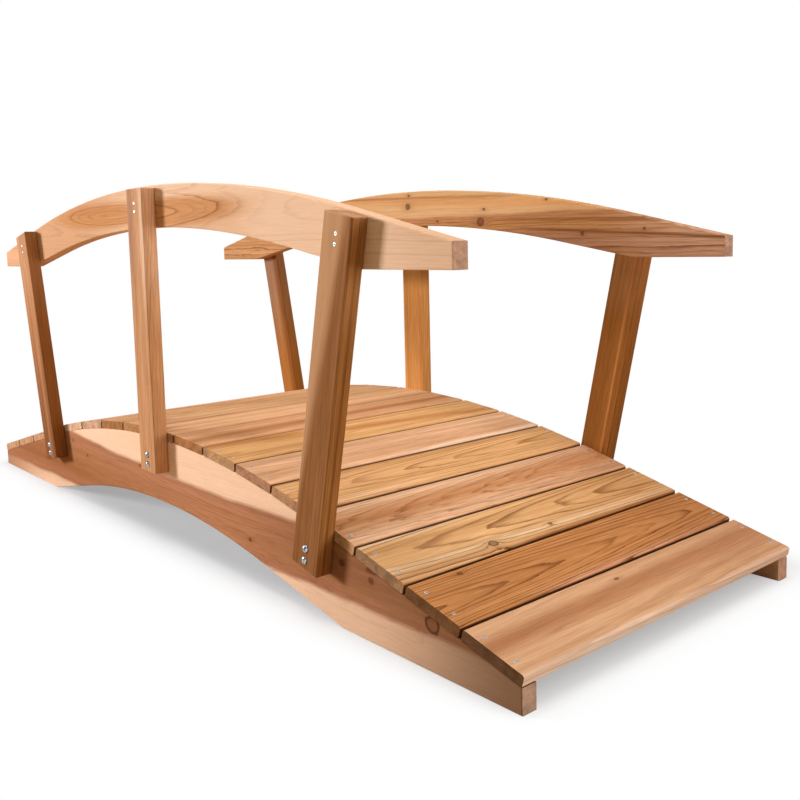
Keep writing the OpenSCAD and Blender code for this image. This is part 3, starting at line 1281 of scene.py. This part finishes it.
PLANKS: dict[int, Cedar] = {
    1: Cedar(
        (230, 177, 134), (170, 112, 74), (98, 66, 40), pith=(-0.01, -0.16), tilt=(0.05, 0.0),
        ring_gap=0.012, ring_strength=0.45, figure=0.55,
        streaks=(
            Streak(-0.012, 0.03, (176, 112, 70), 0.8, 0.012, 0.012),
            # The streak at 0.078 is a painted highlight on the plank's front edge.
            Streak(0.038, 0.008, (196, 140, 100), 0.45, 0.05), Streak(0.078, 0.01, (255, 230, 214), 1.0),
            wash((172, 116, 78), 0.4, end=-0.1, run=0.3),
        ),
        knots=(Knot(0.046, -0.041, 0.0028, 2.2, halo=0.25),),
    ),
    2: Cedar(
        (204, 137, 82), (120, 66, 30), (112, 74, 43), pith=(0.002, -0.036), tilt=(0.008, 0.034),
        ring_gap=0.0054, ring_strength=1.05,
        streaks=(
            Streak(0.066, 0.01, (216, 154, 114), 0.85, end=0.2),
            wash((160, 98, 56), 0.4, end=-0.15, run=0.25),
        ),
        knots=(Knot(0.315, -0.054, 0.0048, 1.4, 0.65, 0.4),),
    ),
    3: Cedar(
        (232, 176, 119), (130, 76, 34), (158, 117, 82), pith=(-0.012, -0.04), tilt=(0.0, -0.042),
        ring_gap=0.008, ring_strength=1.05,
        streaks=(
            Streak(0.044, 0.01, (250, 208, 162), 0.95, -0.034),
            Streak(0.07, 0.008, (156, 94, 50), 0.9, end=0.12),
            Streak(0.058, 0.008, (196, 138, 94), 0.7, start=0.2),
            Streak(-0.066, 0.009, (246, 204, 160), 0.9, start=0.16),
            wash((182, 120, 68), 0.4, end=-0.1, run=0.25),
        ),
        knots=(Knot(0.173, 0.043, 0.0078, 1.3, 0.42, 0.9), Knot(-0.004, 0.04, 0.004, 1.5)),
    ),
    4: Cedar(
        # The third colour, the end tone, is painted light: set paler to lift a post's shadow off the sawn
        # end.
        (234, 179, 135), (154, 88, 44), (198, 148, 104), pith=(0.004, -0.05), tilt=(0.02, -0.05),
        ring_gap=0.0058, wander=0.03, ring_strength=0.7,
        streaks=(
            Streak(-0.004, 0.028, (198, 132, 82), 0.8, -0.01, 0.02),
            Streak(-0.056, 0.01, (244, 198, 160), 0.85), Streak(0.047, 0.011, (236, 186, 148), 0.8),
            wash((180, 116, 72), 0.35, end=-0.15, run=0.2),
        ),
    ),
    5: Cedar(
        (230, 173, 117), (160, 98, 50), (182, 132, 92), pith=(-0.006, -0.042), tilt=(0.0, -0.03),
        ring_gap=0.0055, ring_strength=0.85,
        streaks=(
            Streak(-0.068, 0.007, (172, 112, 64), 0.9),
            Streak(0.056, 0.01, (244, 194, 146), 0.8, start=0.12),
        ),
    ),
    6: Cedar(
        (232, 178, 136), (190, 130, 88), (178, 126, 92), pith=(0.02, -0.12), tilt=(0.02, 0.03),
        ring_gap=0.009, ring_strength=0.45,
        streaks=(
            Streak(0.034, 0.014, (212, 152, 108), 0.7),
            Streak(0.066, 0.011, (252, 216, 182), 1.0, end=0.02, run=0.2),
        ),
    ),
    7: Cedar(
        (226, 170, 111), (180, 116, 62), (188, 140, 96), pith=(0.0, -0.07), tilt=(0.03, 0.02),
        ring_gap=0.008, ring_strength=0.6,
        streaks=(
            Streak(-0.012, 0.02, (194, 128, 72), 0.85, -0.12, 0.012),
            Streak(0.032, 0.009, (198, 138, 84), 0.7, start=0.1),
        ),
    ),
    8: Cedar(
        (216, 158, 113), (168, 106, 62), (170, 112, 66), pith=(0.01, -0.07), tilt=(0.0, 0.03),
        ring_gap=0.007, ring_strength=0.5,
        streaks=(Streak(0.008, 0.019, (178, 116, 68), 0.9, 0.01, 0.014),),
    ),
    9: Cedar(
        (222, 168, 122), (188, 130, 88), (190, 140, 100), pith=(-0.02, -0.09), tilt=(0.0, 0.03),
        ring_gap=0.009, ring_strength=0.45,
        streaks=(Streak(-0.066, 0.012, (198, 142, 96), 0.8),),
    ),
    10: Cedar(
        (214, 162, 116), (164, 106, 62), (186, 127, 78), pith=(0.0, -0.05), tilt=(0.01, 0.03),
        ring_gap=0.007,
    ),
    11: Cedar(
        (216, 162, 112), (160, 102, 56), (170, 112, 64), pith=(0.01, -0.06), tilt=(0.0, -0.04),
        ring_gap=0.007,
        streaks=(Streak(0.02, 0.016, (186, 124, 76), 0.7),),
    ),
    12: Cedar(
        (214, 156, 116), (162, 102, 66), (206, 158, 124), pith=(-0.01, -0.09), tilt=(0.02, 0.0),
        ring_gap=0.009, ring_strength=0.5,
        streaks=(Streak(-0.04, 0.012, (242, 196, 156), 0.8),),
    ),
    13: Cedar(
        (224, 170, 118), (160, 100, 52), (222, 174, 136), pith=(0.0, -0.04), tilt=(0.0, 0.04),
        ring_gap=0.006,
    ),
    14: Cedar(
        (212, 156, 112), (158, 98, 58), (206, 152, 112), pith=(0.02, -0.07), tilt=(0.01, 0.03),
        ring_gap=0.008,
    ),
    15: Cedar(
        (224, 170, 130), (176, 116, 76), (200, 150, 112), pith=(0.0, -0.1), tilt=(0.0, 0.02), ring_gap=0.01,
        ring_strength=0.5,
        streaks=(Streak(0.01, 0.022, (188, 128, 84), 0.7),),
    ),
    16: Cedar(
        (206, 144, 94), (142, 84, 44), (196, 142, 100), pith=(0.005, -0.04), tilt=(0.0, -0.035),
        ring_gap=0.005, ring_strength=0.9,
    ),
    17: Cedar(
        (226, 174, 132), (172, 114, 74), (196, 146, 106), pith=(-0.01, -0.12), tilt=(0.04, 0.02),
        ring_gap=0.01, ring_strength=0.4,
        streaks=(Streak(0.0, 0.03, (184, 122, 78), 0.7),),
    ),
}

STRINGERS: dict[Side, Cedar] = {
    Side.LEFT: Cedar(
        (187, 124, 83), (144, 84, 50), (192, 153, 130), sap=(254, 206, 167), pith=(0.1, 0.05),
        tilt=(0.0, 0.012), ring_gap=0.006, wander=0.05, ring_strength=0.6, figure=0.55, seed=21.0,
        sap_edges=(
            SapEdge(0.176, bend=0.045, bend_from=0.2, wave=0.022, soft=0.007, rim=0.6),
            SapEdge(0.05, slope=0.014, wave=0.034, over=False, soft=0.007, rim=0.65),
        ),
        streaks=(
            # This streak and the next two washes darken the board towards its front end: painted shade for
            # light that falls off there.
            Streak(0.13, 0.05, (132, 84, 54), 0.65, start=0.55, run=0.2),
            wash((150, 104, 72), 0.3, start=0.8, run=0.2), wash((104, 66, 36), 0.85, start=1.03, run=0.2),
            Streak(0.1, 0.065, (150, 88, 40), 0.8, wave=0.01, end=-0.25, run=0.45),
            wash((158, 98, 58), 0.8, end=-0.98, run=0.25),
        ),
        knots=(
            Knot(1.014, 0.087, 0.0145, 1.05, 0.45, 0.95, 0.1), Knot(-0.59, 0.176, 0.0045, 0.8),
            Knot(-0.483, 0.146, 0.0035), Knot(-0.127, 0.176, 0.0035), Knot(0.846, 0.121, 0.006),
            Knot(0.848, 0.14, 0.005, 3.0), Knot(0.757, 0.133, 0.006), Knot(0.419, 0.101, 0.0045),
        ),
        ovals=(Oval(-0.045, 0.128, 0.1, 0.02, 0.012),),
    ),
    Side.RIGHT: Cedar(
        (192, 128, 86), (152, 92, 54), (188, 140, 113), sap=(246, 202, 162), pith=(0.13, -0.05),
        tilt=(0.0, 0.015), ring_gap=0.006, wander=0.05, ring_strength=0.6, seed=22.0,
        sap_edges=(
            SapEdge(0.215, bend=-0.05, wave=0.02, soft=0.007),
            SapEdge(0.02, wave=0.02, over=False, soft=0.007),
        ),
        # The pale wash at the front end is partly a sapwood tone and partly painted light on an inner face
        # that lies in shade under the deck.
        streaks=(wash((255, 205, 168), 0.95, start=0.95, run=0.1),),
        knots=(Knot(-0.4, 0.15, 0.009), Knot(0.55, 0.12, 0.006)),
    ),
}

HANDRAILS: dict[Side, Cedar] = {
    Side.LEFT: Cedar(
        (214, 148, 92), (146, 84, 40), (212, 166, 138), sap=(246, 199, 160), pith=(0.83, -0.12),
        tilt=(0.0, 0.012), ring_gap=0.0048, wander=0.011, ring_strength=0.8, figure=0.55, seed=31.0,
        heart_in_oval=True,
        streaks=(
            wash((196, 130, 72), 0.65, end=-0.2, run=0.25),
            Streak(0.79, 0.03, (212, 150, 98), 0.4, start=0.0, end=0.45, run=0.1),
            Streak(0.775, 0.016, (222, 164, 118), 0.6, -0.16, start=0.3, run=0.2),
            wash((218, 170, 132), 0.5, start=0.95, run=0.12),
            Streak(0.735, 0.02, (236, 176, 130), 0.6, end=-0.9, run=0.08),
        ),
        ovals=(Oval(-0.285, 0.837, 0.3, 0.032, 0.03), Oval(0.12, 0.832, 0.32, 0.034, 0.024)),
    ),
    Side.RIGHT: Cedar(
        (182, 125, 73), (120, 68, 30), (200, 154, 130), sap=(213, 164, 112), pith=(0.66, -0.05),
        tilt=(-0.02, 0.01), ring_gap=0.009, wander=0.03, ring_strength=0.85, seed=32.0,
        sap_edges=(SapEdge(0.822, slope=-0.004, wave=0.018, soft=0.006, rim=0.4),),
        streaks=(
            Streak(0.873, 0.012, (210, 146, 86), 0.7, -0.05, 0.02),
            Streak(0.803, 0.022, (178, 128, 98), 0.75, -0.085, start=0.5),
            wash((194, 138, 90), 0.8, end=-0.4, run=0.15), wash((222, 170, 136), 0.8, start=0.88, run=0.2),
            Streak(0.809, 0.0045, (126, 74, 36), 0.85, -0.06, 0.006, start=0.5, run=0.1),
            Streak(0.82, 0.004, (146, 92, 48), 0.7, -0.035, 0.004, start=0.35),
            Streak(0.882, 0.004, (158, 102, 54), 0.6, -0.03, 0.006, end=0.45),
        ),
        knots=(
            Knot(0.336, 0.801, 0.0108, 1.1, 0.74, 0.75), Knot(0.03, 0.856, 0.008, 1.1, 0.74, 0.75),
            Knot(0.16, 0.808, 0.0035), Knot(0.35, 0.835, 0.0035), Knot(0.691, 0.761, 0.006, 0.7),
            Knot(0.873, 0.768, 0.003), Knot(0.035, 0.889, 0.0035), Knot(0.574, 0.851, 0.003),
        ),
    ),
}

POSTS: dict[tuple[Side, Bay], Cedar] = {
    (Side.LEFT, Bay.FRONT): Cedar(
        (151, 96, 52), (108, 64, 32), (196, 146, 108), sap=(203, 149, 104), pith=(0.09, -0.1),
        tilt=(0.01, 0.0), ring_gap=0.0048, ring_strength=0.55, seed=41.0,
        sap_edges=(SapEdge(-0.058, slope=0.115, wave=0.006, over=False, soft=0.016, rim=0.0),),
        streaks=(
            Streak(0.047, 0.007, (180, 118, 62), 0.9),
            Streak(-0.003, 0.004, (112, 62, 26), 0.7, 0.008, 0.002, lies=Lies.THROUGH),
            Streak(0.026, 0.01, (166, 112, 70), 0.6, end=0.22, run=0.08),
            # This last streak is painted light on the top of the front face, where the rail keeps the fill
            # light off.
            Streak(0.048, 0.007, (206, 146, 92), 0.6, start=0.52, run=0.08),
        ),
    ),
    (Side.LEFT, Bay.MIDDLE): Cedar(
        (206, 146, 98), (158, 100, 60), (214, 164, 124), pith=(-0.05, -0.07), tilt=(0.03, 0.02),
        ring_gap=0.006, ring_strength=0.55, seed=42.0,
        streaks=(
            Streak(0.03, 0.018, (246, 198, 160), 0.9, 0.01, start=0.46, run=0.14),
            Streak(-0.03, 0.02, (186, 134, 106), 0.75, start=0.46),
            Streak(0.052, 0.01, (216, 152, 104), 0.7),
            Streak(0.05, 0.008, (238, 180, 134), 0.7, start=0.5, run=0.08),
        ),
    ),
    (Side.LEFT, Bay.BACK): Cedar(
        (191, 127, 76), (136, 78, 40), (178, 124, 86), pith=(0.03, -0.09), tilt=(0.01, 0.0), ring_gap=0.005,
        ring_strength=0.5, seed=43.0,
        streaks=(
            wash((124, 68, 22), 0.85, end=0.33, run=0.3), Streak(0.048, 0.01, (127, 70, 26), 1.0),
            Streak(0.012, 0.01, (192, 130, 92), 0.5),
            Streak(-0.01, 0.04, (210, 156, 116), 0.55, start=0.52, run=0.12),
        ),
    ),
    (Side.RIGHT, Bay.FRONT): Cedar(
        (137, 83, 32), (106, 60, 24), (170, 112, 66), pith=(-0.04, -0.1), tilt=(0.003, 0.0), ring_gap=0.005,
        ring_strength=0.5, seed=44.0,
        streaks=(
            # The first wash is painted light: it lifts the top of the post out of the near rail's shadow.
            wash((174, 118, 70), 0.6, start=0.49, run=0.06),
            Streak(0.021, 0.0045, (184, 114, 58), 0.85, wave=0.002),
            Streak(0.046, 0.006, (158, 94, 46), 0.7),
        ),
    ),
    (Side.RIGHT, Bay.MIDDLE): Cedar(
        (214, 148, 79), (156, 92, 40), (200, 140, 86), pith=(0.06, -0.05), tilt=(0.004, 0.0),
        ring_gap=0.007, ring_strength=0.6, seed=45.0,
        # The wash from 0.44 up is painted shadow: the near rail's shadow across the top of the post.
        streaks=(Streak(0.03, 0.012, (232, 162, 98), 0.6), wash((128, 76, 30), 0.8, start=0.44, run=0.03)),
    ),
    (Side.RIGHT, Bay.BACK): Cedar(
        (170, 107, 47), (124, 72, 34), (160, 104, 62), pith=(0.04, -0.08), tilt=(0.005, 0.0),
        ring_gap=0.005, ring_strength=0.6, seed=46.0,
        streaks=(wash((162, 122, 96), 0.8, start=0.38, run=0.2), Streak(0.034, 0.016, (132, 74, 24), 0.9)),
    ),
}


def main() -> None:
    """Dress the bridge, set its fasteners and build the studio."""
    logging.basicConfig(level=logging.INFO)
    sizes = BridgeSizes()
    finishes = Finishes()
    # The dark patches on the bright bolts are painted reflection.
    bolt = finishes.plated("bright_zinc", Plating((190, 194, 198), (66, 70, 74), 0.1))
    screw = finishes.plated("grey_zinc", Plating((162, 172, 172), (132, 144, 146), 0.34, 0.4))
    # The recess material is darker than the screw heads: painted shade in the driver recesses.
    recess = finishes.plated("screw_recess_painted_shade", Plating((104, 108, 110), (72, 76, 80), 0.5))
    Stringers(sizes, STRINGERS).build(finishes)
    Deck(sizes, PLANKS).build(finishes, screw, recess)
    Posts(sizes, POSTS).build(finishes, bolt, screw, recess)
    Handrails(sizes, HANDRAILS).build(finishes)
    Studio().build()


if __name__ == "__main__":
    main()
